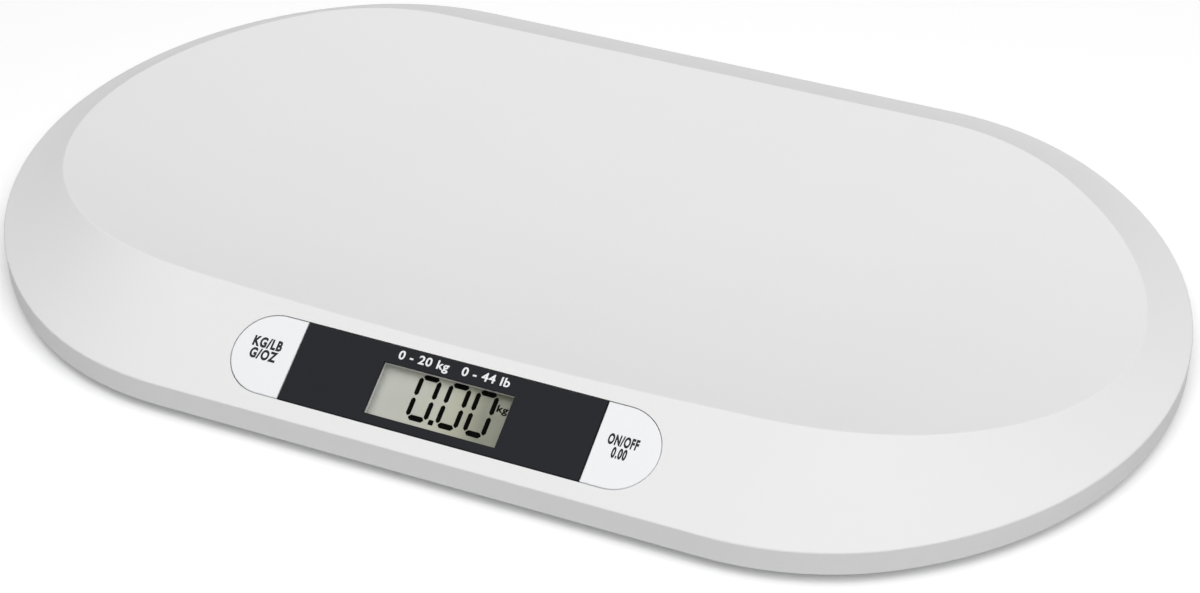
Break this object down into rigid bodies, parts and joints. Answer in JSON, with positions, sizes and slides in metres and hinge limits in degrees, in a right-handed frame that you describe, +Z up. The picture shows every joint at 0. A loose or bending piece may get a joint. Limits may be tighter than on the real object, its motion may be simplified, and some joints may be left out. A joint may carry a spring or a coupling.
{
  "type": "digital baby weighing scale",
  "caption": "Low oval infant scale with a dished pan, a sloping front display between push buttons, load-cell feet and a battery door.",
  "frame": {"origin": "on the floor, under the middle of the oval outline", "axes": "+Z up, +X along the length of the scale, -Y towards the person who reads the display"},
  "size_m": [0.55, 0.34, 0.0424],
  "materials": {
    "shell_white": "satin white moulded plastic",
    "cover_white": "fine-textured white moulded plastic",
    "bezel_black": "gloss black moulded plastic",
    "clear_window": "clear plastic window",
    "tape": "black adhesive sheet",
    "lcd": "grey-green liquid crystal glass",
    "reflector": "grey reflector film",
    "contact_rubber": "layered contact rubber",
    "carrier": "white moulded frame",
    "board": "green coated circuit board",
    "epoxy": "black epoxy dome",
    "components": "small electronic parts",
    "screw_steel": "zinc-plated steel",
    "button_white": "satin white moulded plastic",
    "plunger": "black plastic",
    "switch_body": "black plastic switch body",
    "cell_steel": "machined steel plate",
    "silicone": "white silicone bead",
    "bracket": "dark moulded plastic",
    "foot_plastic": "light grey moulded plastic",
    "pad_rubber": "dark rubber",
    "lead_skin": "coloured insulation",
    "battery_can": "plain printed can",
    "contact_metal": "nickel-plated spring steel"
  },
  "bodies": {
    "housing": {"top_shell": "shell_white", "bottom_cover": "cover_white", "display_bezel": "bezel_black", "display_window": "clear_window", "bezel_tape": "tape", "lcd_glass": "lcd", "lcd_backing": "reflector", "lcd_contact_strips": "contact_rubber", "lcd_frame": "carrier", "main_board": "board", "controller_chip": "epoxy", "board_components": "components", "board_screws": "screw_steel", "unit_switch": "switch_body", "power_switch": "switch_body", "load_cell_front_left": "cell_steel", "gauge_cover_front_left": "silicone", "cell_bracket_front_left": "bracket", "foot_front_left": "foot_plastic", "foot_pad_front_left": "pad_rubber", "cell_lead_front_left": "lead_skin", "load_cell_front_right": "cell_steel", "gauge_cover_front_right": "silicone", "cell_bracket_front_right": "bracket", "foot_front_right": "foot_plastic", "foot_pad_front_right": "pad_rubber", "cell_lead_front_right": "lead_skin", "load_cell_back_left": "cell_steel", "gauge_cover_back_left": "silicone", "cell_bracket_back_left": "bracket", "foot_back_left": "foot_plastic", "foot_pad_back_left": "pad_rubber", "cell_lead_back_left": "lead_skin", "load_cell_back_right": "cell_steel", "gauge_cover_back_right": "silicone", "cell_bracket_back_right": "bracket", "foot_back_right": "foot_plastic", "foot_pad_back_right": "pad_rubber", "cell_lead_back_right": "lead_skin", "bracket_screws": "screw_steel", "case_screws": "screw_steel", "battery_cell_front": "battery_can", "battery_cell_middle": "battery_can", "battery_cell_back": "battery_can", "contact_plates": "contact_metal", "contact_springs": "contact_metal", "battery_leads": "lead_skin"},
    "unit_button": {"unit_button": "button_white", "unit_plunger": "plunger"},
    "power_button": {"power_button": "button_white", "power_plunger": "plunger"},
    "battery_door": {"battery_door": "cover_white"}
  },
  "joints": [
    {"name": "unit_button_press", "type": "slide", "parent": "housing", "child": "unit_button", "axis": [0, 0.4924, -0.8704], "range_m": [0, 0.0006], "stiffness_N_per_m": 2500},
    {"name": "power_button_press", "type": "slide", "parent": "housing", "child": "power_button", "axis": [0, 0.4924, -0.8704], "range_m": [0, 0.0006], "stiffness_N_per_m": 2500},
    {"name": "battery_door_hinge", "type": "hinge", "parent": "housing", "child": "battery_door", "pos_m": [-0.0285, -0.082, 0.003], "axis": [0, 1, 0], "range_deg": [0, 60]}
  ]
}
